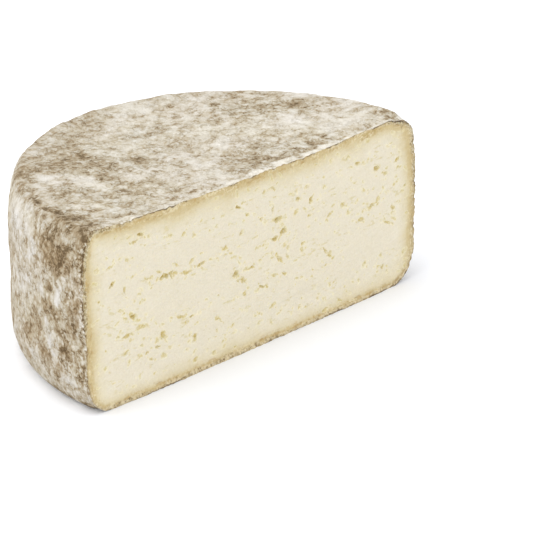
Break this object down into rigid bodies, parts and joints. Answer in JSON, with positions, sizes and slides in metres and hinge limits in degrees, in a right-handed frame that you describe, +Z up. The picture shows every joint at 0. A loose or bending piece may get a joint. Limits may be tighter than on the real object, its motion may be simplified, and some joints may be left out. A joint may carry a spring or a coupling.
{
  "type": "half wheel of tomme cheese",
  "caption": "Half of a mould-ripened mountain cheese wheel: a flat-based drum with rounded, crusty rind and a flat cut face of pale, crumbly paste with small irregular eyes.",
  "frame": {"origin": "on the axis of the whole wheel, at the base", "axes": "+Z up the wheel's axis, +X to the right along the cut face, +Y from the cut face into the cheese"},
  "size_m": [0.1804, 0.0993, 0.0736],
  "materials": {
    "cheese": "matte; pale ivory paste that turns buff towards a dry, grey-brown, mould-bloomed rind"
  },
  "bodies": {
    "root": {"half_wheel": "cheese"}
  },
  "joints": []
}
